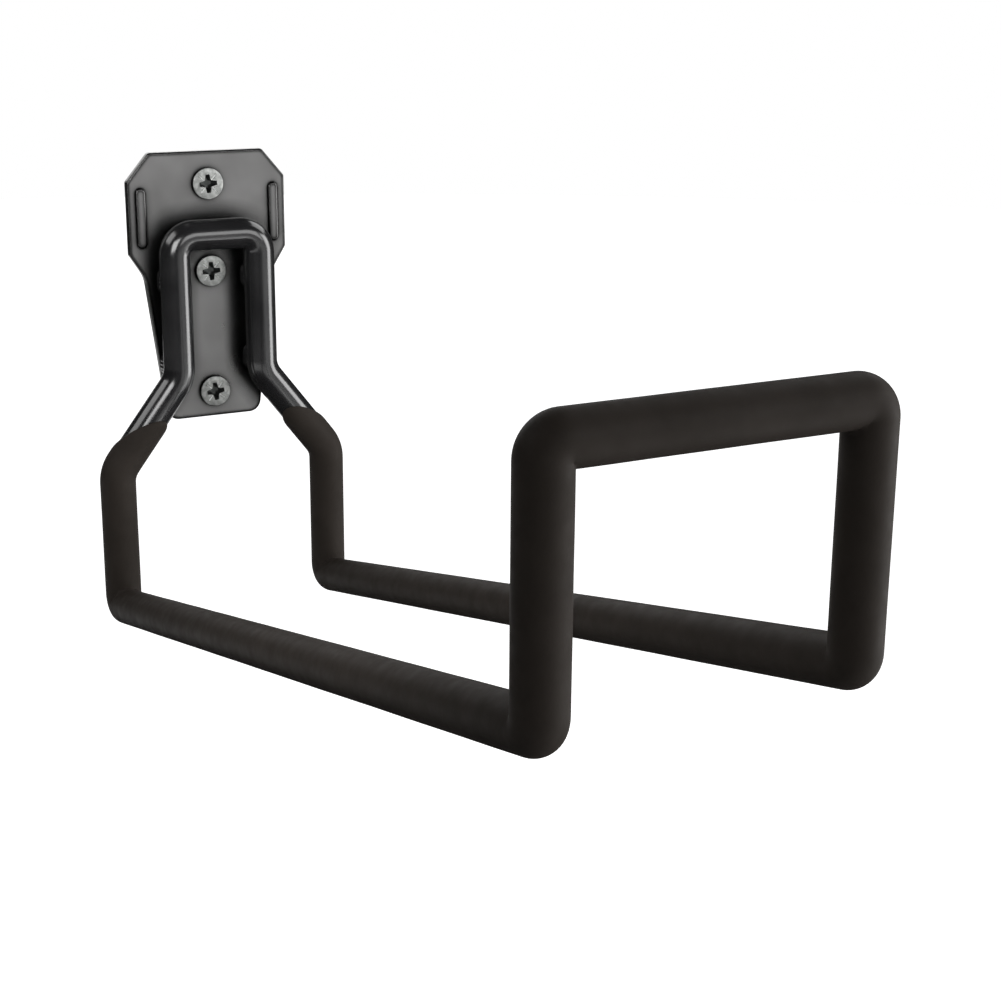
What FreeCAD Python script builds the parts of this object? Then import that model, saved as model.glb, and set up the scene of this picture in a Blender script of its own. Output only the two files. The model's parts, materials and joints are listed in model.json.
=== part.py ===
import FreeCAD, Part
import math
import os
from collections import namedtuple

# Hose hanger: a pressed wall plate with a bent tube loop welded to its face, and a soft sleeve over the
# loop. X is to the right when facing the wall, Y goes into the wall and Z is up. The origin lies on the
# plate's back face, midway between the top and the bottom screw. All sizes are in millimetres.

# Back plate
plate_thickness = 2.5
plate_top_margin = 11.5
plate_bottom_margin = 9.6
head_width = 58.6
head_top_width = 42.0
head_corner_drop = 9.9
head_side_height = 25.8
neck_drop = 8.2
neck_side_margin = 3.0
tongue_end_margin = 1.9
neck_radius = 11.0
tongue_corner_radius = 4.5
head_corner_radius = 1.6
plate_edge_radius = 0.7

# Pressed ribs on the plate's head
rib_length = 21.3
rib_width = 3.6
rib_height = 0.9
rib_edge_radius = 0.7
rib_side_margin = 4.7
rib_above_neck = 2.3
rib_groove_width = 2.2
rib_groove_depth = 0.8
rib_groove_radius = 0.6

# Screws and their holes
screw_hole_diameter = 7.2
countersink_diameter = 9.0
screw_gap_lower = 44.6
screw_head_diameter = 11.2
screw_head_rim = 0.5
screw_neck_diameter = 4.0
screw_neck_behind_plate = 1.5
screw_thread_diameter = 5.5
screw_thread_length = 26.0
screw_thread_start = 0.8
screw_tip_length = 7.0
screw_head_edge = 0.25
recess_wing_span = 6.6
recess_wing_width = 2.3
recess_depth = 2.8
recess_floor_span = 3.6
recess_floor_width = 1.6

# Bent tube
tube_diameter = 11.1
tube_wall = 1.5
tube_standoff = 3.2
upper_leg_spacing = 31.2
upper_leg_length = 50.7
splay_drop = 32.2
arm_spacing = 80.2
lower_leg_length = 50.8
arm_reach = 314.5
arm_tilt = 13.8
front_bar_height = 60.9
bridge_bend_inside = 1.45
splay_bend_radius = 12.0
arm_bend_inside = 1.45
front_bend_inside = 1.45
bridge_to_middle_screw = 3.1
bridge_to_top_screw = 6.0

# Welds
butt_gap = 1.2
weld_length = 11.0
weld_radius = 4.3
upper_weld_drop = 17.0
lower_weld_rise = 3.5

# Sleeve
sleeve_wall = 0.75
sleeve_clearance = 0.05
sleeve_corner_radius = 10.4
sleeve_edge_rise = 12.0
sleeve_edge_tilt = 45.0
sleeve_lip_radius = 0.25

# Places worked out from the sizes above
tube_radius = tube_diameter / 2
tube_bore_radius = tube_radius - tube_wall
tube_y = -(plate_thickness + tube_standoff + tube_radius)
sleeve_bore_radius = tube_radius + sleeve_clearance
sleeve_radius = sleeve_bore_radius + sleeve_wall
sleeve_bend_radius = sleeve_corner_radius - sleeve_radius
screw_head_radius = screw_head_diameter / 2
screw_gap_upper = screw_head_diameter + bridge_to_middle_screw + tube_diameter + bridge_to_top_screw
screw_span = screw_gap_upper + screw_gap_lower
top_screw_z = screw_span / 2
middle_screw_z = top_screw_z - screw_gap_upper
bottom_screw_z = -screw_span / 2
screw_heights = [top_screw_z, middle_screw_z, bottom_screw_z]
bridge_z = middle_screw_z + screw_head_radius + bridge_to_middle_screw + tube_radius
splay_top_z = bridge_z - upper_leg_length
splay_bottom_z = splay_top_z - splay_drop
heel_z = splay_bottom_z - lower_leg_length
toe_z = heel_z + arm_reach * math.tan(math.radians(arm_tilt))
front_top_z = toe_z + front_bar_height
front_y = tube_y - arm_reach
upper_leg_x = upper_leg_spacing / 2
arm_x = arm_spacing / 2
plate_top_z = top_screw_z + plate_top_margin
plate_bottom_z = bottom_screw_z - plate_bottom_margin
head_side_top_z = plate_top_z - head_corner_drop
head_side_bottom_z = head_side_top_z - head_side_height
neck_z = head_side_bottom_z - neck_drop


def vec(x, y, z):
    return FreeCAD.Vector(x, y, z)


def mirrored(point):
    """The same point on the other side of the hanger's middle plane."""
    return vec(-point.x, point.y, point.z)


Bend = namedtuple("Bend", "start end middle centre axis turn back ahead")


def bend_at(before, corner, after, radius):
    """Bend of the given radius between the two straight runs that meet at a corner."""
    back = (before - corner).normalize()
    ahead = (after - corner).normalize()
    half_angle = back.getAngle(ahead) / 2
    tangent = radius / math.tan(half_angle)
    inward = (back + ahead).normalize()
    centre = corner + inward * (radius / math.sin(half_angle))
    return Bend(corner + back * tangent, corner + ahead * tangent, centre - inward * radius, centre,
                ahead.cross(back), math.pi - 2 * half_angle, back, ahead)


def half_space(point, normal):
    """Large block that fills the side of a plane that the normal points to."""
    size = 2 * (arm_reach + arm_spacing)
    block = Part.makeBox(size, size, size, vec(-size / 2, -size / 2, 0))
    block.Placement = FreeCAD.Placement(point, FreeCAD.Rotation(vec(0, 0, 1), normal))
    return block


def rounded_wire(points, radii, closed=False):
    """Wire of straight runs through the points, with the corner at each point rounded to its radius."""
    count = len(points)
    corners = range(count) if closed else range(1, count - 1)
    arcs = {}
    for i in corners:
        if radii[i] > 0:
            bend = bend_at(points[i - 1], points[i], points[(i + 1) % count], radii[i])
            arcs[i] = Part.Arc(bend.start, bend.middle, bend.end)
    edges = []
    for i in range(count if closed else count - 1):
        following = (i + 1) % count
        start = arcs[i].EndPoint if i in arcs else points[i]
        end = arcs[following].StartPoint if following in arcs else points[following]
        edges.append(Part.makeLine(start, end))
        if following in arcs:
            edges.append(arcs[following].toShape())
    return Part.Wire(edges)


def tube_along(path, radius):
    """Solid round bar swept along a path."""
    start = path.Edges[0]
    direction = start.tangentAt(start.FirstParameter)
    circle = Part.Wire(Part.makeCircle(radius, start.valueAt(start.FirstParameter), direction))
    return path.makePipeShell([circle], True, False)


def capsule(middle, direction, length, radius):
    """Round bar with ball ends, of the given overall length."""
    run = length - 2 * radius
    start = middle - direction * (run / 2)
    end = middle + direction * (run / 2)
    bar = Part.makeCylinder(radius, run, start, direction)
    return bar.fuse([Part.makeSphere(radius, start), Part.makeSphere(radius, end)]).removeSplitter()


def plate_outline():
    """Outline of the plate on its back face: octagonal head, curved neck and tapering tongue."""
    neck_x = upper_leg_x + tube_radius + neck_side_margin
    tongue_x = upper_leg_x + tongue_end_margin
    right = [
        (vec(head_top_width / 2, 0, plate_top_z), head_corner_radius),
        (vec(head_width / 2, 0, head_side_top_z), head_corner_radius),
        (vec(head_width / 2, 0, head_side_bottom_z), head_corner_radius),
        (vec(neck_x, 0, neck_z), neck_radius),
        (vec(tongue_x, 0, plate_bottom_z), tongue_corner_radius),
    ]
    left = [(mirrored(point), radius) for point, radius in reversed(right)]
    points = [point for point, radius in right + left]
    radii = [radius for point, radius in right + left]
    return rounded_wire(points, radii, closed=True)


def rim_at(solid, y):
    """Edges of a solid that lie in the plane at this Y."""
    rim = []
    for edge in solid.Edges:
        if all(abs(vertex.Y - y) < 1e-6 for vertex in edge.Vertexes):
            rim.append(edge)
    return rim


def upright_slot(x, z, length, width, y_from, y_to, edge_radius):
    """Bar with round ends that stands along Z, with the edges at its far face rounded."""
    radius = width / 2
    run = length / 2 - radius
    right_top = vec(x + radius, y_from, z + run)
    left_top = vec(x - radius, y_from, z + run)
    left_bottom = vec(x - radius, y_from, z - run)
    right_bottom = vec(x + radius, y_from, z - run)
    top = Part.Arc(right_top, vec(x, y_from, z + length / 2), left_top)
    bottom = Part.Arc(left_bottom, vec(x, y_from, z - length / 2), right_bottom)
    left = Part.makeLine(left_top, left_bottom)
    right = Part.makeLine(right_bottom, right_top)
    outline = Part.Wire([top.toShape(), left, bottom.toShape(), right])
    bar = Part.Face(outline).extrude(vec(0, y_to - y_from, 0))
    return bar.makeFillet(edge_radius, rim_at(bar, y_to))


def pressed_rib(side):
    """Raised rib on the front and the groove that pressing it leaves on the back, for one side."""
    x = side * (head_width / 2 - rib_side_margin)
    z = head_side_bottom_z + rib_above_neck + rib_length / 2
    inside_y = -plate_thickness / 2
    top_y = -plate_thickness - rib_height
    raised = upright_slot(x, z, rib_length, rib_width, inside_y, top_y, rib_edge_radius)
    groove_length = rib_length - rib_width + rib_groove_width
    groove = upright_slot(x, z, groove_length, rib_groove_width, 0, -rib_groove_depth, rib_groove_radius)
    return raised, groove


def screw_hole(z):
    """Through hole with a countersink that opens to the front."""
    sink_depth = (countersink_diameter - screw_hole_diameter) / 2
    front = vec(0, -plate_thickness, z)
    into_wall = vec(0, 1, 0)
    drill = Part.makeCylinder(screw_hole_diameter / 2, plate_thickness, front, into_wall)
    sink = Part.makeCone(countersink_diameter / 2, screw_hole_diameter / 2, sink_depth, front, into_wall)
    return drill.fuse(sink)


def make_back_plate():
    sheet = Part.Face(plate_outline()).extrude(vec(0, -plate_thickness, 0))
    plate = sheet.makeFillet(plate_edge_radius, rim_at(sheet, -plate_thickness))
    for side in (-1, 1):
        raised, groove = pressed_rib(side)
        plate = plate.fuse(raised).cut(groove)
    for z in screw_heights:
        plate = plate.cut(screw_hole(z))
    return plate.removeSplitter()


def frame_corners():
    """Corners and bend radii of the tube's centre line on the right side, from the bridge to the crossbar."""
    return [
        (vec(upper_leg_x, tube_y, bridge_z), tube_radius + bridge_bend_inside),
        (vec(upper_leg_x, tube_y, splay_top_z), splay_bend_radius),
        (vec(arm_x, tube_y, splay_bottom_z), splay_bend_radius),
        (vec(arm_x, tube_y, heel_z), tube_radius + arm_bend_inside),
        (vec(arm_x, front_y, toe_z), tube_radius + front_bend_inside),
        (vec(arm_x, front_y, front_top_z), tube_radius + front_bend_inside),
    ]


def both_sides(start, corners):
    """Points and radii of a route from a start point along the right side and back along the left side."""
    right = [(start, 0)] + corners
    left = [(mirrored(point), radius) for point, radius in reversed(right)]
    points = [point for point, radius in right + left]
    radii = [radius for point, radius in right + left]
    return points, radii


def frame_path():
    return rounded_wire(*both_sides(vec(butt_gap / 2, tube_y, bridge_z), frame_corners()))


def make_hook_frame():
    path = frame_path()
    return tube_along(path, tube_radius).cut(tube_along(path, tube_bore_radius))


def weld_blank(x, z, direction):
    """Weld nugget on the plate's face before it is trimmed to the tube and the plate."""
    return capsule(vec(x, -plate_thickness, z), direction, weld_length, weld_radius)


def butt_ring():
    """Weld metal between the tube's two ends, flush with the tube."""
    start = vec(-butt_gap / 2, tube_y, bridge_z)
    along = vec(1, 0, 0)
    outside = Part.makeCylinder(tube_radius, butt_gap, start, along)
    return outside.cut(Part.makeCylinder(tube_bore_radius, butt_gap, start, along))


def make_frame_welds():
    """Weld nuggets that carry the tube off the plate, and the ring that closes the tube's loop."""
    behind_face = half_space(vec(0, -plate_thickness, 0), vec(0, 1, 0))
    bar = tube_along(frame_path(), tube_radius)
    ring = butt_ring()
    bridge_weld = weld_blank(0, bridge_z, vec(1, 0, 0)).cut([behind_face, bar])
    butt_start = vec(-butt_gap / 2, tube_y, bridge_z)
    bridge_core = Part.makeCylinder(tube_radius, butt_gap, butt_start, vec(1, 0, 0))
    welds = [bridge_weld.cut(bridge_core).fuse(ring).removeSplitter()]
    for x in (-upper_leg_x, upper_leg_x):
        for z in (bridge_z - upper_weld_drop, splay_top_z + lower_weld_rise):
            welds.append(weld_blank(x, z, vec(0, 0, 1)).cut([behind_face, bar]))
    return Part.makeCompound([solid for weld in welds for solid in weld.Solids])


def bend_solid(bend, radius):
    """Round bar through one bend. A bar thicker than the bend's own radius stops at the bend's axis."""
    section = Part.Face(Part.Wire(Part.makeCircle(radius, bend.start, bend.back)))
    past_axis = half_space(bend.centre, bend.centre - bend.start)
    return section.cut(past_axis).Faces[0].revolve(bend.centre, bend.axis, math.degrees(bend.turn))


def sleeve_outside():
    """Outside of the sleeve. On the inside of a tight bend the two runs meet in a crease."""
    splay_top, splay_bottom, heel, toe, front_top = [point for point, radius in frame_corners()[1:]]
    corners = [(splay_bottom, splay_bend_radius)]
    corners += [(point, sleeve_bend_radius) for point in (heel, toe, front_top)]
    points, radii = both_sides(splay_top, corners)
    bends = [bend_at(points[i - 1], points[i], points[i + 1], radii[i]) for i in range(1, len(points) - 1)]
    solids = [bend_solid(bend, sleeve_radius) for bend in bends]
    starts = [points[0]] + [bend.end for bend in bends]
    ends = [bend.start for bend in bends] + [points[-1]]
    for i, (start, end) in enumerate(zip(starts, ends)):
        run = Part.makeCylinder(sleeve_radius, start.distanceToPoint(end), start, end - start)
        for bend in bends[max(0, i - 1):i]:
            run = run.cut(half_space(bend.centre, bend.back - bend.ahead))
        for bend in bends[i:i + 1]:
            run = run.cut(half_space(bend.centre, bend.ahead - bend.back))
        solids.append(run)
    return solids[0].fuse(solids[1:]).removeSplitter()


def make_grip_sleeve():
    """Soft plastic skin that was dipped on, so its edge on both splays lies in one tilted plane."""
    corners = frame_corners()
    bore = tube_along(rounded_wire(*both_sides(corners[1][0], corners[2:])), sleeve_bore_radius)
    tilt = math.radians(sleeve_edge_tilt)
    edge = vec(0, tube_y, splay_bottom_z + sleeve_edge_rise)
    above_edge = half_space(edge, vec(0, math.sin(tilt), math.cos(tilt)))
    sleeve = sleeve_outside().cut([bore, above_edge])
    lips = [face.OuterWire.Edges for face in sleeve.Faces if isinstance(face.Surface, Part.Plane)]
    return sleeve.makeFillet(sleeve_lip_radius, sum(lips, []))


def cross_wire(y, span, width):
    """Cross-shaped outline of the driver recess at one depth."""
    far = span / 2
    near = width / 2
    wing = [vec(near, y, near), vec(far, y, near), vec(far, y, -near)]
    points = []
    for quarter in range(4):
        turn = FreeCAD.Rotation(vec(0, 1, 0), 90 * quarter)
        points += [turn.multVec(point) for point in wing]
    return Part.makePolygon(points + points[:1])


def make_screw():
    """One countersunk screw on the Y axis, seated in the plate's countersink."""
    shank_radius = screw_neck_diameter / 2
    thread_radius = screw_thread_diameter / 2
    cone_start_y = -plate_thickness - (screw_head_diameter - countersink_diameter) / 2
    top_y = cone_start_y - screw_head_rim
    cone_end_y = cone_start_y + screw_head_radius - shank_radius
    thread_start_y = screw_neck_behind_plate + screw_thread_start
    thread_end_y = thread_start_y + screw_thread_length
    profile = [
        vec(0, top_y, 0),
        vec(screw_head_radius - screw_head_edge, top_y, 0),
        vec(screw_head_radius, top_y + screw_head_edge, 0),
        vec(screw_head_radius, cone_start_y, 0),
        vec(shank_radius, cone_end_y, 0),
        vec(shank_radius, screw_neck_behind_plate, 0),
        vec(thread_radius, thread_start_y, 0),
        vec(thread_radius, thread_end_y, 0),
        vec(0, thread_end_y + screw_tip_length, 0),
    ]
    face = Part.Face(Part.makePolygon(profile + profile[:1]))
    screw = face.revolve(vec(0, 0, 0), vec(0, 1, 0), 360)
    mouth = cross_wire(top_y, recess_wing_span, recess_wing_width)
    floor = cross_wire(top_y + recess_depth, recess_floor_span, recess_floor_width)
    return screw.cut(Part.makeLoft([mouth, floor], True, True))


def make_wall_screws():
    screw = make_screw()
    return Part.makeCompound([screw.translated(vec(0, 0, z)) for z in screw_heights])


def main():
    os.makedirs("parts", exist_ok=True)
    pieces = {
        "back_plate": make_back_plate(),
        "hook_frame": make_hook_frame(),
        "frame_welds": make_frame_welds(),
        "grip_sleeve": make_grip_sleeve(),
        "wall_screws": make_wall_screws(),
    }
    for name, shape in pieces.items():
        shape.exportStep("parts/" + name + ".step")
        box = shape.BoundBox
        print(name, "solids", len(shape.Solids), "valid", shape.isValid(), "volume", round(shape.Volume, 1),
              "y", round(box.YMin, 2), round(box.YMax, 2), "z", round(box.ZMin, 2), round(box.ZMax, 2))


main()
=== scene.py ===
import json
import math
from collections import namedtuple

import bmesh
import bpy
from mathutils import Matrix, Vector, noise


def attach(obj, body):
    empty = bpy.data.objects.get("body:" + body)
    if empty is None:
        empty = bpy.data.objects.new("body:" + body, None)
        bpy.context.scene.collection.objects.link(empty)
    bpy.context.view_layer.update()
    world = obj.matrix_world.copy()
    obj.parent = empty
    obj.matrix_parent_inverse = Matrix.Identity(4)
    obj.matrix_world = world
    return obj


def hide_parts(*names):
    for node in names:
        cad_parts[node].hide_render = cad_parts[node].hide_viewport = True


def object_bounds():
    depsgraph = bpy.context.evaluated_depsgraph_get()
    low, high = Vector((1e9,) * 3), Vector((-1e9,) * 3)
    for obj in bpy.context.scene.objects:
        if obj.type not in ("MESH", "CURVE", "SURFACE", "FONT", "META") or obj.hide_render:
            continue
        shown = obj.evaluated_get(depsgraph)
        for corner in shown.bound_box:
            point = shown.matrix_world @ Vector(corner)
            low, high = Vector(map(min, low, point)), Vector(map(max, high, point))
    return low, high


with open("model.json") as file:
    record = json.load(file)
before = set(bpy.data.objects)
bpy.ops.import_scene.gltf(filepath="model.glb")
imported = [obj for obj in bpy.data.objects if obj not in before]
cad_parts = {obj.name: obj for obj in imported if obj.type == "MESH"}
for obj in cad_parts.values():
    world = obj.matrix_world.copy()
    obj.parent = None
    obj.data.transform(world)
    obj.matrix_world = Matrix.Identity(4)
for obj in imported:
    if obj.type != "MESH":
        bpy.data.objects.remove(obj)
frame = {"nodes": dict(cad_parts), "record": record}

# Looks of the hose hanger. Shapes are worked out in millimetres in the part's frame: X to the right when
# facing the wall, Y into the wall and Z up. A mesh is turned into metres when its piece is made.
MM = 0.001
cad_low, cad_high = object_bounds()

# Bent tube
tube_radius = 5.55
tube_y = -11.25
bridge_z = 20.85
upper_leg_x = 15.6
upper_leg_length = 50.7
splay_drop = 32.2
arm_x = 40.1
lower_leg_length = 50.8
arm_reach = 314.5
arm_tilt = 13.8
front_bar_height = 60.9
tight_bend_radius = 7.0
splay_bend_radius = 12.0
tube_run_step = 6.0
tube_bend_step = 0.7
tube_ring_count = 48

# Sleeve
sleeve_radius = 6.35
sleeve_bore_radius = 5.6
sleeve_corner_radius = 10.4
sleeve_edge_rise = 12.0
sleeve_edge_tilt = 45
sleeve_lip_depth = 2.0
sleeve_lip_depth_share = 0.8
sleeve_lip_rows = 6
sleeve_edge_rows = 10
sleeve_above_bend = 0.5
sleeve_run_step = 1.6
sleeve_bend_step = 0.5
sleeve_inside_run_step = 12.0
sleeve_inside_bend_step = 1.5
sleeve_ring_count = 56
sleeve_wave_length = 18.0
sleeve_wave_height = 0.05
sleeve_smooth_angle = 60
merge_distance = 0.002

# Welds
plate_front_y = -2.5
weld_length = 11.0
weld_radius = 4.3
upper_weld_drop = 17.0
lower_weld_rise = 3.5
weld_ripple_length = 1.4
weld_ripple_height = 0.05
weld_tip_share = 0.02
weld_rows = 56
weld_columns = 24

# Screws
screw_ring_count = 48
screw_head_radius = 5.6
screw_head_top_y = -4.1
screw_head_edge = 0.25
screw_cone_start_y = -3.6
screw_shank_radius = 2.0
screw_shank_end_y = 1.5
screw_thread_radius = 2.75
screw_core_radius = 1.9
screw_thread_end_y = 28.3
screw_tip_y = 35.3
screw_pitch = 2.4
screw_rows_per_turn = 14
screw_ridge_share = 0.3
screw_smooth_angle = 35
recess_wing_span = 6.6
recess_wing_width = 2.3
recess_tip_share = 0.62
recess_depth = 2.8
recess_floor_span = 3.6
recess_floor_width = 1.6
tick_start = 1.9
tick_end = 4.2
tick_width = 0.34
tick_depth = 0.3
screw_turns = {"top_screw": 4, "middle_screw": 3, "bottom_screw": 6}

# Black coats of the tube and the plate
coat_cloud_size = 14.0
coat_peel_size = 1.1
coat_peel_height = 0.006
coat_grain_size = 0.25
coat_grain_height = 0.002
tube_dark = (0.008, 0.008, 0.0085)
tube_light = (0.0105, 0.0105, 0.011)
tube_roughness = (0.17, 0.22)
tube_refraction = 1.62
plate_dark = (0.148, 0.147, 0.145)
plate_light = (0.172, 0.171, 0.17)
plate_roughness = (0.27, 0.31)

# Painted shade of the plate: its colour darkens in its creases, along its edges and beside the tube and
# screws
crease_reach = 2.8
edge_reach = 1.7
beside_tube_reach = 9.0
fine_open_share = 0.76
wide_open_share = 0.5
fully_open_share = 0.97
painted_shade_darkest = 0.1
open_share_samples = 8

# Soft skin of the sleeve
skin_dark = (0.0190, 0.0157, 0.0133)
skin_light = (0.0228, 0.0189, 0.0162)
skin_roughness = (0.55, 0.66)
skin_shine = 0.05
skin_cloud_size = 12.0
skin_lump_size = 4.0
skin_lump_height = 0.012
skin_grain_size = 0.5
skin_grain_height = 0.014

# Zinc of the screws, with a painted highlight in the tick grooves and painted shade in the recesses
zinc_dark = (0.17, 0.175, 0.17)
zinc_light = (0.30, 0.307, 0.296)
zinc_roughness = (0.36, 0.48)
zinc_cloud_size = 1.6
turning_mark_width = 0.9
turning_mark_height = 0.01
turning_mark_waver = 3.0
# Tick grooves: plating brighter than the head, a painted highlight
tick_highlight_dark = (0.6, 0.61, 0.6)
tick_highlight_light = (0.75, 0.76, 0.75)
tick_roughness = (0.3, 0.4)
# Inside the driver recesses: plating darkened as painted shade
recess_shade_dark = (0.05, 0.053, 0.052)
recess_shade_light = (0.09, 0.094, 0.09)
recess_roughness = (0.45, 0.6)
fine_zinc_cloud_size = 0.8

# Part of a cloudy pattern's range that is turned into values and into colours
value_range = (0.3, 0.7)
colour_range = (0.35, 0.65)

# Camera, fitted to the photograph; the image is square
image_pixels = 1001
focal_pixels = 1779.9
camera_place = Vector((-202.23, -618.02, 114.64))
camera_azimuth = -27.58
camera_elevation = 15.62
camera_roll = 0.44
middle_above_centre_pixels = 40
sensor_width = 36.0

# Stage, in metres
floor_drop = 0.6
floor_radius = 6.0
floor_grey = 0.75
floor_roughness = 0.9
floor_glow = 0.96
fill_strength = 0.4
canopy_radius = 1.7
canopy_left = -176
canopy_right = 172
canopy_low = -16
canopy_high = 88
canopy_columns = 32
canopy_rows = 16
flag_drop = 0.23
flag_radius = 0.55
flag_middle_y = -0.15
cloth_black = 0.02
disc_corners = 96

Corner = namedtuple("Corner", "place radius")
Station = namedtuple("Station", "place along")
Crease = namedtuple("Crease", "centre axis inward forward half_turn radius")


def vec(x, y, z):
    return Vector((x, y, z))


def mirrored(corner):
    """The same corner on the other side of the hanger's middle plane."""
    return Corner(vec(-corner.place.x, corner.place.y, corner.place.z), corner.radius)


# Routes and sweeps

def right_side_corners():
    """Corners of the tube's centre line on the right side, from the bridge to the crossbar."""
    splay_top_z = bridge_z - upper_leg_length
    splay_bottom_z = splay_top_z - splay_drop
    heel_z = splay_bottom_z - lower_leg_length
    toe_z = heel_z + arm_reach * math.tan(math.radians(arm_tilt))
    front_y = tube_y - arm_reach
    return [
        Corner(vec(upper_leg_x, tube_y, bridge_z), tight_bend_radius),
        Corner(vec(upper_leg_x, tube_y, splay_top_z), splay_bend_radius),
        Corner(vec(arm_x, tube_y, splay_bottom_z), splay_bend_radius),
        Corner(vec(arm_x, tube_y, heel_z), tight_bend_radius),
        Corner(vec(arm_x, front_y, toe_z), tight_bend_radius),
        Corner(vec(arm_x, front_y, toe_z + front_bar_height), tight_bend_radius),
    ]


def both_sides(start, corners):
    """Route from a start point through the right side's corners and back along the left side."""
    right = [Corner(start, 0)] + corners
    return right + [mirrored(corner) for corner in reversed(right)]


def run_stations(start, end, step):
    """Stations strictly between the ends of a straight run."""
    run = end - start
    count = max(1, math.ceil(run.length / step))
    return [Station(start + run * (i / count), run.normalized()) for i in range(1, count)]


def bend_stations(before, here, after, step):
    """Stations round one bend, its two ends included."""
    back = (before.place - here.place).normalized()
    ahead = (after.place - here.place).normalized()
    half_angle = back.angle(ahead) / 2
    turn = math.pi - 2 * half_angle
    centre = here.place + (back + ahead).normalized() * (here.radius / math.sin(half_angle))
    spoke = here.place + back * (here.radius / math.tan(half_angle)) - centre
    axis = ahead.cross(back).normalized()
    count = 2 * math.ceil(turn * here.radius / (2 * step)) + 1
    stations = []
    for i in range(count + 1):
        way = Matrix.Rotation(turn * i / count, 3, axis) @ spoke
        stations.append(Station(centre + way, axis.cross(way).normalized()))
    return stations


def route_stations(corners, run_step, bend_step):
    """Stations along the straight runs and round the bends of a route."""
    start = corners[0].place
    stations = [Station(start, (corners[1].place - start).normalized())]
    for before, here, after in zip(corners, corners[1:], corners[2:]):
        bend = bend_stations(before, here, after, bend_step)
        stations += run_stations(start, bend[0].place, run_step)
        stations += bend
        start = bend[-1].place
    end = corners[-1].place
    stations += run_stations(start, end, run_step)
    stations.append(Station(end, (end - start).normalized()))
    return stations


def carried_across(stations):
    """One direction across the route at each station, carried along without twist."""
    across = stations[0].along.orthogonal().normalized()
    carried = [across]
    for before, after in zip(stations, stations[1:]):
        across = before.along.rotation_difference(after.along) @ across
        carried.append(across)
    return carried


def ring_directions(station, across, count):
    """Directions out from a station, evenly round the route."""
    sideways = station.along.cross(across)
    angles = [2 * math.pi * i / count for i in range(count)]
    return [math.cos(angle) * across + math.sin(angle) * sideways for angle in angles]


def ring(station, across, count, radius_at):
    """Points of a ring round a station; radius_at gives the radius in a direction from its place."""
    outs = ring_directions(station, across, count)
    return [station.place + out * radius_at(station.place, out) for out in outs]


def ring_faces(ring_total, count, joined):
    """Faces between neighbouring rings; joined also ties the last ring to the first."""
    faces = []
    for row in range(ring_total if joined else ring_total - 1):
        low = row * count
        high = (row + 1) % ring_total * count
        for i in range(count):
            following = (i + 1) % count
            faces.append((low + i, low + following, high + following, high + i))
    return faces


def grid_faces(rows, columns):
    """Faces of a sheet of points that lie in rows and columns."""
    width = columns + 1
    faces = []
    for row in range(rows):
        for column in range(columns):
            corner = row * width + column
            faces.append((corner, corner + 1, corner + width + 1, corner + width))
    return faces


# Pieces

def make_piece(name, points, faces, material, smooth_angle=40):
    """Mesh object of the given points, in millimetres, smooth but for edges sharper than the angle."""
    mesh = bpy.data.meshes.new(name)
    mesh.from_pydata([point * MM for point in points], [], faces)
    mesh.shade_smooth()
    mesh.set_sharp_from_angle(angle=math.radians(smooth_angle))
    mesh.materials.append(material)
    piece = bpy.data.objects.new(name, mesh)
    bpy.context.collection.objects.link(piece)
    return piece


def dress(piece, node):
    """Puts a piece in the place of a CAD node."""
    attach(piece, "root")
    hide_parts(node)


def make_tube(material):
    """The bent tube as one closed loop."""
    route = both_sides(vec(0, tube_y, bridge_z), right_side_corners())
    stations = route_stations(route, tube_run_step, tube_bend_step)
    points = []
    for station, across in zip(stations[:-1], carried_across(stations)):
        points += ring(station, across, tube_ring_count, lambda place, out: tube_radius)
    faces = ring_faces(len(stations) - 1, tube_ring_count, joined=True)
    dress(make_piece("bent_tube", points, faces, material), "hook_frame")


def sleeve_surface(place, out):
    """Radius of the sleeve's outside, slightly uneven as a soft skin over a tube is."""
    wave = noise.noise((place + out * sleeve_radius) / sleeve_wave_length)
    return sleeve_radius + sleeve_wave_height * wave


def lip_rings(station, across, inward):
    """Rings from the sleeve's thin edge, in the tilted plane that it was dipped to, down to a station."""
    tilt = math.radians(sleeve_edge_tilt)
    upward = vec(0, math.sin(tilt), math.cos(tilt))
    edge = vec(0, tube_y, bridge_z - upper_leg_length - splay_drop + sleeve_edge_rise)
    outs = ring_directions(station, across, sleeve_ring_count)
    steepness = upward.dot(inward)
    reaches = [upward.dot(station.place + out * sleeve_radius - edge) / steepness for out in outs]
    depths = [min(sleeve_lip_depth, sleeve_lip_depth_share * reach) for reach in reaches]
    rings = []
    for row in range(sleeve_lip_rows):
        angle = math.pi / 2 * row / sleeve_lip_rows
        radius = sleeve_bore_radius + (sleeve_radius - sleeve_bore_radius) * math.sin(angle)
        share = 1 - math.cos(angle)
        rings.append([station.place - inward * (reach - depth * share) + out * radius
                      for out, reach, depth in zip(outs, reaches, depths)])
    for row in range(sleeve_edge_rows):
        share = 1 - row / sleeve_edge_rows
        rings.append([station.place - inward * (reach - depth) * share + out * sleeve_radius
                      for out, reach, depth in zip(outs, reaches, depths)])
    return rings


def tight_creases(corners):
    """Creases on the inside of the corners whose radius is smaller than the sleeve's own."""
    creases = []
    for before, here, after in zip(corners, corners[1:], corners[2:]):
        if here.radius < sleeve_radius:
            back = (before.place - here.place).normalized()
            ahead = (after.place - here.place).normalized()
            axis = ahead.cross(back).normalized()
            inward = (back + ahead).normalized()
            forward = (ahead - back).normalized()
            half_angle = back.angle(ahead) / 2
            centre = here.place + inward * (here.radius / math.sin(half_angle))
            creases.append(Crease(centre, axis, inward, forward, math.pi / 2 - half_angle, here.radius))
    return creases


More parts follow.
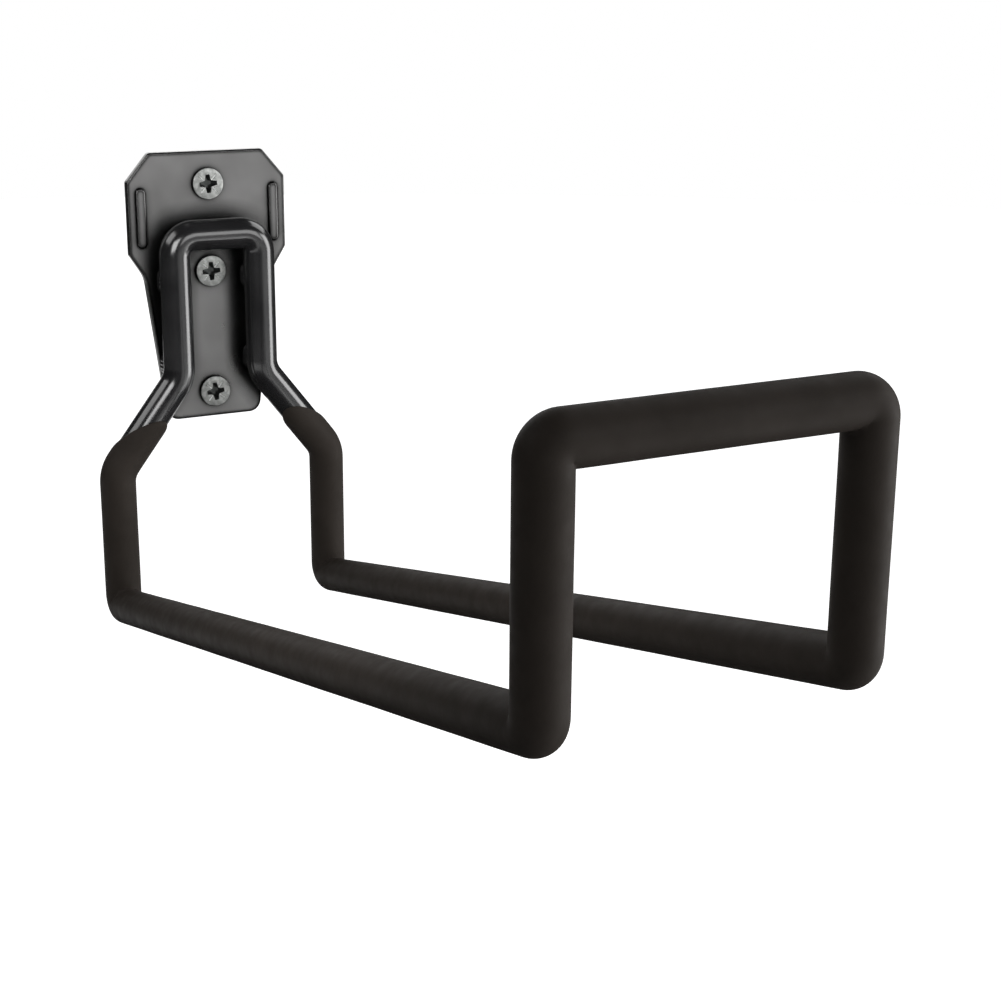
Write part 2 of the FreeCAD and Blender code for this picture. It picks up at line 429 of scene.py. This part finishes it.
def stopped_at_crease(point, station, creases):
    """A point of a ring, moved to a tight bend's crease if it would pass into the bend's other run."""
    for crease in creases:
        side = (station.place - crease.centre).dot(crease.forward)
        near = (station.place - crease.centre).length < 2 * sleeve_radius
        if near and (point - crease.centre).dot(crease.forward) * side < 0:
            out = (point - station.place).normalized()
            height = sleeve_radius * out.dot(crease.axis)
            half_chord = math.sqrt(max(0, sleeve_radius ** 2 - height ** 2))
            depth = max(0, half_chord - crease.radius) / math.cos(crease.half_turn)
            return crease.centre + crease.axis * height + crease.inward * depth
    return point


def weld_doubles(piece):
    """Merges points that coincide and removes the faces that this leaves empty."""
    work = bmesh.new()
    work.from_mesh(piece.data)
    bmesh.ops.remove_doubles(work, verts=work.verts, dist=merge_distance * MM)
    bmesh.ops.dissolve_degenerate(work, dist=merge_distance * MM, edges=work.edges)
    work.to_mesh(piece.data)
    work.free()


def make_sleeve(material):
    """Soft sleeve from one splay to the other: outside, thin edges and bore in one closed skin."""
    corners = right_side_corners()
    splay_top = corners[1]
    bends = [corners[2]]
    bends += [Corner(corner.place, sleeve_corner_radius - sleeve_radius) for corner in corners[3:]]
    first_bend = bend_stations(splay_top, bends[0], bends[1], sleeve_bend_step)[0]
    start = first_bend.place - first_bend.along * sleeve_above_bend
    route = both_sides(start, bends)
    creases = tight_creases(route)
    stations = route_stations(route, sleeve_run_step, sleeve_bend_step)
    directions = carried_across(stations)
    rings = lip_rings(stations[0], directions[0], stations[0].along)
    for station, across in zip(stations, directions):
        outline = ring(station, across, sleeve_ring_count, sleeve_surface)
        rings.append([stopped_at_crease(point, station, creases) for point in outline])
    rings += reversed(lip_rings(stations[-1], directions[-1], -stations[-1].along))
    bore_route = both_sides(start, corners[2:])
    bore = route_stations(bore_route, sleeve_inside_run_step, sleeve_inside_bend_step)
    for station, across in reversed(list(zip(bore, carried_across(bore)))):
        rings.append(ring(station, across, sleeve_ring_count, lambda place, out: sleeve_bore_radius))
    points = [point for each in rings for point in each]
    faces = ring_faces(len(rings), sleeve_ring_count, joined=True)
    sleeve = make_piece("grip_sleeve_skin", points, faces, material, sleeve_smooth_angle)
    weld_doubles(sleeve)
    dress(sleeve, "grip_sleeve")


def weld_bead(middle, along):
    """Points and faces of one rippled weld bead that stands on the plate's face."""
    across = along.cross(vec(0, -1, 0))
    straight = weld_length / 2 - weld_radius
    points = []
    for row in range(weld_rows + 1):
        reach = (row / weld_rows - 0.5) * weld_length
        past = max(0, abs(reach) - straight) / weld_radius
        girth_share = math.sqrt(max(weld_tip_share ** 2, 1 - past ** 2))
        girth = weld_radius * girth_share
        ripple = math.sin(2 * math.pi * reach / weld_ripple_length) * weld_ripple_height * girth_share
        for column in range(weld_columns + 1):
            angle = math.pi * column / weld_columns
            out = math.cos(angle) * across + math.sin(angle) * vec(0, -1, 0)
            points.append(middle + along * reach + out * (girth + ripple))
    width = weld_columns + 1
    faces = grid_faces(weld_rows, weld_columns)
    left = [row * width for row in range(weld_rows + 1)]
    right = [row * width + weld_columns for row in range(weld_rows + 1)]
    faces.append(tuple(left + right[::-1]))
    faces.append(tuple(range(width)))
    faces.append(tuple(range(weld_rows * width, (weld_rows + 1) * width))[::-1])
    return points, faces


def make_welds(material):
    """Weld beads between the plate and the tube: one under the bridge and two under each leg."""
    places = [(vec(0, plate_front_y, bridge_z), vec(1, 0, 0))]
    upper_z = bridge_z - upper_weld_drop
    lower_z = bridge_z - upper_leg_length + lower_weld_rise
    for x in (-upper_leg_x, upper_leg_x):
        for z in (upper_z, lower_z):
            places.append((vec(x, plate_front_y, z), vec(0, 0, 1)))
    points = []
    faces = []
    for middle, along in places:
        bead_points, bead_faces = weld_bead(middle, along)
        faces += [tuple(index + len(points) for index in face) for face in bead_faces]
        points += bead_points
    beads = make_piece("weld_beads", points, faces, material)
    outward(beads)
    dress(beads, "frame_welds")


def thread_radius(y, angle):
    """Radius of the screw's thread: a sharp ridge that winds round a core and fades at both ends."""
    taper = min(1, max(0, (screw_tip_y - y) / (screw_tip_y - screw_thread_end_y)))
    start = min(1, (y - screw_shank_end_y) / screw_pitch)
    phase = (y / screw_pitch - angle / (2 * math.pi)) % 1
    ridge = max(0, 1 - abs(phase - 0.5) / screw_ridge_share)
    return taper * (screw_core_radius + start * ridge * (screw_thread_radius - screw_core_radius))


def screw_blank():
    """Points and faces of a screw on the Y axis, before its recess is cut."""
    edge = screw_head_edge
    rows = [(screw_head_top_y, screw_head_radius - edge)]
    for turn in (30, 60, 90):
        angle = math.radians(turn)
        rows.append((screw_head_top_y + edge * (1 - math.cos(angle)),
                     screw_head_radius - edge * (1 - math.sin(angle))))
    rows.append((screw_cone_start_y, screw_head_radius))
    rows.append((screw_cone_start_y + screw_head_radius - screw_shank_radius, screw_shank_radius))
    rows.append((screw_shank_end_y, screw_core_radius))
    points = []
    for y, radius in rows:
        for i in range(screw_ring_count):
            angle = 2 * math.pi * i / screw_ring_count
            points.append(vec(radius * math.cos(angle), y, radius * math.sin(angle)))
    row_step = screw_pitch / screw_rows_per_turn
    thread_rows = int((screw_tip_y - screw_shank_end_y) / row_step)
    for row in range(1, thread_rows):
        y = screw_shank_end_y + row * row_step
        for i in range(screw_ring_count):
            angle = 2 * math.pi * i / screw_ring_count
            radius = thread_radius(y, angle)
            points.append(vec(radius * math.cos(angle), y, radius * math.sin(angle)))
    ring_total = len(rows) + thread_rows - 1
    faces = ring_faces(ring_total, screw_ring_count, joined=False)
    faces.append(tuple(range(screw_ring_count))[::-1])
    faces.append(tuple(range((ring_total - 1) * screw_ring_count, ring_total * screw_ring_count)))
    return points, faces


def cross_outline(y, span, width):
    """Points of a cross-shaped outline at one depth."""
    far = span / 2
    near = width / 2
    tip = near * recess_tip_share
    points = []
    for quarter in range(4):
        turn = Matrix.Rotation(quarter * math.pi / 2, 3, "Y")
        points += [turn @ vec(x, y, z) for x, z in ((near, near), (far, tip), (far, -tip))]
    return points


def recess_cutter():
    """Points and faces of the tapered cross that cuts the driver recess."""
    above = 1.0
    slope = (recess_wing_span - recess_floor_span) / recess_depth
    thin = (recess_wing_width - recess_floor_width) / recess_depth
    mouth_span = recess_wing_span + slope * above
    mouth_width = recess_wing_width + thin * above
    mouth = cross_outline(screw_head_top_y - above, mouth_span, mouth_width)
    floor = cross_outline(screw_head_top_y + recess_depth, recess_floor_span, recess_floor_width)
    faces = ring_faces(2, len(mouth), joined=False)
    faces.append(tuple(range(len(mouth)))[::-1])
    faces.append(tuple(range(len(mouth), 2 * len(mouth))))
    return mouth + floor, faces


def tick_cutter(quarter):
    """Points and faces of one narrow V groove between two wings of the recess."""
    turn = Matrix.Rotation((quarter + 0.5) * math.pi / 2, 3, "Y")
    above = 0.5
    half = tick_width / 2 * (1 + above / tick_depth)
    ends = []
    for reach in (tick_start, tick_end):
        ends += [
            turn @ vec(reach, screw_head_top_y - above, half),
            turn @ vec(reach, screw_head_top_y - above, -half),
            turn @ vec(reach, screw_head_top_y + tick_depth, 0),
        ]
    faces = ring_faces(2, 3, joined=False)
    faces += [(2, 1, 0), (3, 4, 5)]
    return ends, faces


def cut_from(piece, cutters):
    """Cuts each cutter out of a piece for good, and removes the cutters."""
    for cutter in cutters:
        cut = piece.modifiers.new("cut", "BOOLEAN")
        cut.object = cutter
        cut.operation = "DIFFERENCE"
        cut.solver = "EXACT"
        cut.material_mode = "TRANSFER"
    graph = bpy.context.evaluated_depsgraph_get()
    result = bpy.data.meshes.new_from_object(piece.evaluated_get(graph))
    piece.modifiers.clear()
    piece.data = result
    for cutter in cutters:
        bpy.data.objects.remove(cutter)


def outward(piece):
    """Turns all faces of a closed mesh to the outside."""
    work = bmesh.new()
    work.from_mesh(piece.data)
    bmesh.ops.recalc_face_normals(work, faces=work.faces)
    work.to_mesh(piece.data)
    work.free()


def make_screws(material, shaded_recess_material, highlit_tick_material):
    """Three countersunk wood screws with cross recesses, at the screw mounts."""
    screw = make_piece("screw_pattern", *screw_blank(), material)
    # The recess faces take the cutter's zinc, darkened as painted shade
    cutters = [make_piece("recess_cutter", *recess_cutter(), shaded_recess_material)]
    # The tick grooves take zinc brightened as a painted highlight
    for quarter in range(4):
        cutters.append(make_piece("tick_cutter", *tick_cutter(quarter), highlit_tick_material))
    for solid in [screw] + cutters:
        outward(solid)
    cut_from(screw, cutters)
    screw.data.shade_smooth()
    screw.data.set_sharp_from_angle(angle=math.radians(screw_smooth_angle))
    for mount in frame["record"]["mounts"]:
        if mount["name"] in screw_turns:
            turned = bpy.data.objects.new("wood_screw_" + mount["name"], screw.data)
            bpy.context.collection.objects.link(turned)
            turned.location = (0, 0, mount["pos_m"][2])
            turned.rotation_euler = (0, -math.radians(screw_turns[mount["name"]]), 0)
            dress(turned, "wall_screws")
    bpy.data.objects.remove(screw)


# Materials

def new_material(name):
    """Material with its node tree and its shader."""
    material = bpy.data.materials.new(name)
    material.use_nodes = True
    tree = material.node_tree
    return material, tree, tree.nodes["Principled BSDF"]


def own_places(tree):
    """The object's own coordinates, so that a pattern stays with it."""
    return tree.nodes.new("ShaderNodeTexCoord").outputs["Object"]


def noise_field(tree, places, feature_mm, detail=2.0):
    """Cloudy pattern with features of about the given size."""
    field = tree.nodes.new("ShaderNodeTexNoise")
    field.inputs["Scale"].default_value = 1 / (feature_mm * MM)
    field.inputs["Detail"].default_value = detail
    tree.links.new(places, field.inputs["Vector"])
    return field.outputs["Fac"]


def spread(tree, pattern, values):
    """Turns the middle of a cloudy pattern's range into a range of values."""
    ranged = tree.nodes.new("ShaderNodeMapRange")
    ranged.inputs["From Min"].default_value = value_range[0]
    ranged.inputs["From Max"].default_value = value_range[1]
    ranged.inputs["To Min"].default_value = values[0]
    ranged.inputs["To Max"].default_value = values[1]
    tree.links.new(pattern, ranged.inputs["Value"])
    return ranged.outputs["Result"]


def two_colours(tree, pattern, dark, light):
    """Turns a cloudy pattern into a mix of two colours."""
    ramp = tree.nodes.new("ShaderNodeValToRGB")
    ends = zip(ramp.color_ramp.elements, colour_range, (dark, light))
    for element, position, colour in ends:
        element.position = position
        element.color = colour + (1,)
    tree.links.new(pattern, ramp.inputs["Fac"])
    return ramp.outputs["Color"]


def bump(tree, pattern, height_mm, under=None):
    """Normal of a surface raised by a pattern, on top of another bump if there is one."""
    raised = tree.nodes.new("ShaderNodeBump")
    raised.inputs["Distance"].default_value = height_mm * MM
    tree.links.new(pattern, raised.inputs["Height"])
    if under is not None:
        tree.links.new(under, raised.inputs["Normal"])
    return raised.outputs["Normal"]


def open_share(tree, reach_mm, most_shaded, inside, own_shape):
    """1 on open faces, falling in creases within a reach or, on the inside, along outer edges: a mask for
    painted shade.
    """
    around = tree.nodes.new("ShaderNodeAmbientOcclusion")
    around.samples = open_share_samples
    around.inside = inside
    around.only_local = own_shape
    around.inputs["Distance"].default_value = reach_mm * MM
    ranged = tree.nodes.new("ShaderNodeMapRange")
    ranged.inputs["From Min"].default_value = most_shaded
    ranged.inputs["From Max"].default_value = fully_open_share
    ranged.inputs["To Min"].default_value = painted_shade_darkest
    tree.links.new(around.outputs["AO"], ranged.inputs["Value"])
    return ranged.outputs["Result"]


def with_painted_shade(tree, colour):
    """A colour with painted shade and shadow: darker in the creases, along the edges and close to the
    neighbours of a surface.
    """
    creases = open_share(tree, crease_reach, fine_open_share, inside=False, own_shape=True)
    edges = open_share(tree, edge_reach, fine_open_share, inside=True, own_shape=True)
    neighbours = open_share(tree, beside_tube_reach, wide_open_share, inside=False, own_shape=False)
    for share in (creases, edges, neighbours):
        darkened = tree.nodes.new("ShaderNodeVectorMath")
        darkened.operation = "SCALE"
        tree.links.new(colour, darkened.inputs["Vector"])
        tree.links.new(share, darkened.inputs["Scale"])
        colour = darkened.outputs["Vector"]
    return colour


def coat(name, dark, light, roughness, paints_shade):
    """Black powder coat with a faint orange peel, and painted shade in its creases and along its edges when
    asked.
    """
    material, tree, shader = new_material(name)
    places = own_places(tree)
    clouds = noise_field(tree, places, coat_cloud_size)
    peel = noise_field(tree, places, coat_peel_size)
    grain = noise_field(tree, places, coat_grain_size)
    colour = two_colours(tree, clouds, dark, light)
    # Painted shade: the base colour darkens in creases, along edges and beside the tube and screws
    if paints_shade:
        colour = with_painted_shade(tree, colour)
    tree.links.new(colour, shader.inputs["Base Color"])
    tree.links.new(spread(tree, clouds, roughness), shader.inputs["Roughness"])
    peeled = bump(tree, peel, coat_peel_height)
    tree.links.new(bump(tree, grain, coat_grain_height, peeled), shader.inputs["Normal"])
    return material, shader


def tube_coat():
    """Deep black gloss of the tube and the welds."""
    material, shader = coat("tube_black_coat", tube_dark, tube_light, tube_roughness, paints_shade=False)
    shader.inputs["IOR"].default_value = tube_refraction
    return material


def plate_coat():
    """Satin black coat of the plate, with a metallic sheen that is greyer than the tube's gloss, and
    painted shade in creases, along edges and beside the tube.
    """
    material, shader = coat("plate_black_coat", plate_dark, plate_light, plate_roughness, paints_shade=True)
    shader.inputs["Metallic"].default_value = 1.0
    return material


def sleeve_skin():
    """Matte warm-black soft plastic, mottled and slightly lumpy."""
    material, tree, shader = new_material("soft_black_sleeve")
    places = own_places(tree)
    clouds = noise_field(tree, places, skin_cloud_size, detail=3.0)
    lumps = noise_field(tree, places, skin_lump_size)
    grain = noise_field(tree, places, skin_grain_size)
    tree.links.new(two_colours(tree, clouds, skin_dark, skin_light), shader.inputs["Base Color"])
    tree.links.new(spread(tree, lumps, skin_roughness), shader.inputs["Roughness"])
    lumpy = bump(tree, lumps, skin_lump_height)
    tree.links.new(bump(tree, grain, skin_grain_height, lumpy), shader.inputs["Normal"])
    shader.inputs["Specular IOR Level"].default_value = skin_shine
    return material


def plating(name, dark, light, roughness, cloud_size):
    """Cloudy metal plating."""
    material, tree, shader = new_material(name)
    places = own_places(tree)
    clouds = noise_field(tree, places, cloud_size, detail=3.0)
    tree.links.new(two_colours(tree, clouds, dark, light), shader.inputs["Base Color"])
    tree.links.new(spread(tree, clouds, roughness), shader.inputs["Roughness"])
    shader.inputs["Metallic"].default_value = 1.0
    return material, tree, shader, places


def zinc():
    """Dull bright-zinc plating with turning marks across the head."""
    look = plating("zinc_plate", zinc_dark, zinc_light, zinc_roughness, zinc_cloud_size)
    material, tree, shader, places = look
    rings = tree.nodes.new("ShaderNodeTexWave")
    rings.wave_type = "RINGS"
    rings.rings_direction = "Y"
    rings.inputs["Scale"].default_value = 1 / (turning_mark_width * MM)
    rings.inputs["Distortion"].default_value = turning_mark_waver
    rings.inputs["Detail"].default_value = 2.0
    tree.links.new(places, rings.inputs["Vector"])
    tree.links.new(bump(tree, rings.outputs["Fac"], turning_mark_height), shader.inputs["Normal"])
    return material


def highlit_tick_zinc():
    """Plating of the narrow grooves beside the driver recesses, brighter than the head as a painted
    highlight.
    """
    return plating("highlit_tick_zinc", tick_highlight_dark, tick_highlight_light, tick_roughness, fine_zinc_cloud_size)[0]


def shaded_recess_zinc():
    """Plating inside the driver recesses, darkened as painted shade."""
    return plating("shaded_recess_zinc", recess_shade_dark, recess_shade_light, recess_roughness, fine_zinc_cloud_size)[0]


# Stage, lamps and camera

def seen_share(tree):
    """1 on rays that show the background, straight or in a mirror or glass, and 0 on others."""
    path = tree.nodes.new("ShaderNodeLightPath")
    share = path.outputs["Is Camera Ray"]
    for name in ("Is Glossy Ray", "Is Transmission Ray"):
        either = tree.nodes.new("ShaderNodeMath")
        either.operation = "MAXIMUM"
        tree.links.new(share, either.inputs[0])
        tree.links.new(path.outputs[name], either.inputs[1])
        share = either.outputs["Value"]
    return share


def white_world():
    """White background, with a lower strength where it lights the object."""
    world = bpy.data.worlds.new("studio")
    world.use_nodes = True
    tree = world.node_tree
    strength = tree.nodes.new("ShaderNodeMapRange")
    strength.inputs["To Min"].default_value = fill_strength
    strength.inputs["To Max"].default_value = 1.0
    tree.links.new(seen_share(tree), strength.inputs["Value"])
    background = tree.nodes["Background"]
    background.inputs["Color"].default_value = (1, 1, 1, 1)
    tree.links.new(strength.outputs["Result"], background.inputs["Strength"])
    bpy.context.scene.world = world


def stage_disc(name, radius, middle_y, z, material):
    """Level disc of the stage, in metres."""
    points = []
    for i in range(disc_corners):
        angle = 2 * math.pi * i / disc_corners
        points.append(vec(radius * math.cos(angle), middle_y + radius * math.sin(angle), z) / MM)
    return make_piece(name, points, [tuple(range(disc_corners))], material)


def pale_floor():
    """Round white floor below the hanger, which keeps its shadow."""
    material, tree, shader = new_material("white_floor")
    shader.inputs["Base Color"].default_value = (floor_grey, floor_grey, floor_grey, 1)
    shader.inputs["Roughness"].default_value = floor_roughness
    shader.inputs["Emission Color"].default_value = (1, 1, 1, 1)
    glow = tree.nodes.new("ShaderNodeMath")
    glow.operation = "MULTIPLY"
    glow.inputs[1].default_value = floor_glow
    tree.links.new(seen_share(tree), glow.inputs[0])
    tree.links.new(glow.outputs["Value"], shader.inputs["Emission Strength"])
    stage_disc("studio_floor", floor_radius, 0, cad_low.z - floor_drop, material)


def black_cloth(name):
    """Matte black cloth."""
    material, tree, shader = new_material(name)
    shader.inputs["Base Color"].default_value = (cloth_black, cloth_black, cloth_black, 1)
    shader.inputs["Roughness"].default_value = 1.0
    return material


def direction(azimuth, elevation):
    """Direction from the plate, in degrees to the right of straight ahead and up from level."""
    turn = math.radians(azimuth)
    rise = math.radians(elevation)
    return vec(math.sin(turn) * math.cos(rise), -math.cos(turn) * math.cos(rise), math.sin(rise))


def dark_canopy():
    """Black canopy over the hanger, so that its gloss shows only the lamps there."""
    points = []
    for row in range(canopy_rows + 1):
        elevation = canopy_low + (canopy_high - canopy_low) * row / canopy_rows
        for column in range(canopy_columns + 1):
            azimuth = canopy_left + (canopy_right - canopy_left) * column / canopy_columns
            points.append(direction(azimuth, elevation) * canopy_radius / MM)
    faces = grid_faces(canopy_rows, canopy_columns)
    canopy = make_piece("dark_canopy", points, faces, black_cloth("canopy_cloth"))
    canopy.visible_camera = False


def dark_flag():
    """Black disc under the hanger that only its gloss shows, so that the lower sides stay deep black."""
    cloth = black_cloth("flag_cloth")
    flag = stage_disc("dark_flag", flag_radius, flag_middle_y, cad_low.z - flag_drop, cloth)
    flag.visible_camera = False
    flag.visible_diffuse = False
    flag.visible_shadow = False


def softbox(name, azimuth, elevation, distance, width, height, radiance):
    """Area lamp that faces the plate from the given direction."""
    lamp = bpy.data.lights.new(name + "_softbox", "AREA")
    lamp.shape = "RECTANGLE"
    lamp.size = width
    lamp.size_y = height
    lamp.energy = radiance * math.pi * width * height
    box = bpy.data.objects.new(name + "_softbox", lamp)
    bpy.context.collection.objects.link(box)
    out = direction(azimuth, elevation)
    box.location = out * distance
    box.rotation_euler = out.to_track_quat("Z", "Y").to_euler()
    box.visible_camera = False


def make_camera():
    """Camera at the place and angle that the photograph was taken from."""
    turn = math.radians(camera_azimuth)
    roll = math.radians(camera_roll)
    back = direction(camera_azimuth, camera_elevation)
    level = vec(math.cos(turn), math.sin(turn), 0)
    upright = back.cross(level)
    right = level * math.cos(roll) + upright * math.sin(roll)
    up = back.cross(right)
    data = bpy.data.cameras.new("camera")
    data.sensor_width = sensor_width
    data.lens = sensor_width * focal_pixels / image_pixels
    data.shift_y = -middle_above_centre_pixels / image_pixels
    camera = bpy.data.objects.new("camera", data)
    bpy.context.collection.objects.link(camera)
    turned = Matrix((right, up, back)).transposed().to_4x4()
    camera.matrix_world = Matrix.Translation(camera_place * MM) @ turned
    bpy.context.scene.camera = camera


def main():
    plate = frame["nodes"]["back_plate"]
    plate.data.materials.clear()
    plate.data.materials.append(plate_coat())
    gloss = tube_coat()
    make_tube(gloss)
    make_welds(gloss)
    make_sleeve(sleeve_skin())
    make_screws(zinc(), shaded_recess_zinc(), highlit_tick_zinc())

    white_world()
    pale_floor()
    dark_canopy()
    dark_flag()
    softbox("front", azimuth=20, elevation=15, distance=1.2, width=0.95, height=0.46, radiance=4.3)
    softbox("low", azimuth=22, elevation=-12, distance=1.25, width=0.85, height=0.45, radiance=0.85)
    softbox("side", azimuth=62, elevation=0, distance=1.2, width=0.56, height=0.9, radiance=7.5)
    softbox("lower", azimuth=36, elevation=-30, distance=0.95, width=0.58, height=0.2, radiance=5.0)
    softbox("high_right", azimuth=98, elevation=38, distance=1.2, width=0.9, height=0.6, radiance=3.2)
    softbox("high_left", azimuth=-98, elevation=42, distance=1.2, width=0.9, height=0.6, radiance=3.4)
    softbox("back", azimuth=168, elevation=24, distance=1.2, width=1.2, height=0.8, radiance=2.2)
    softbox("near", azimuth=-34, elevation=20, distance=0.27, width=0.12, height=0.12, radiance=9.0)
    make_camera()
    bpy.context.scene.view_settings.view_transform = "Standard"


main()
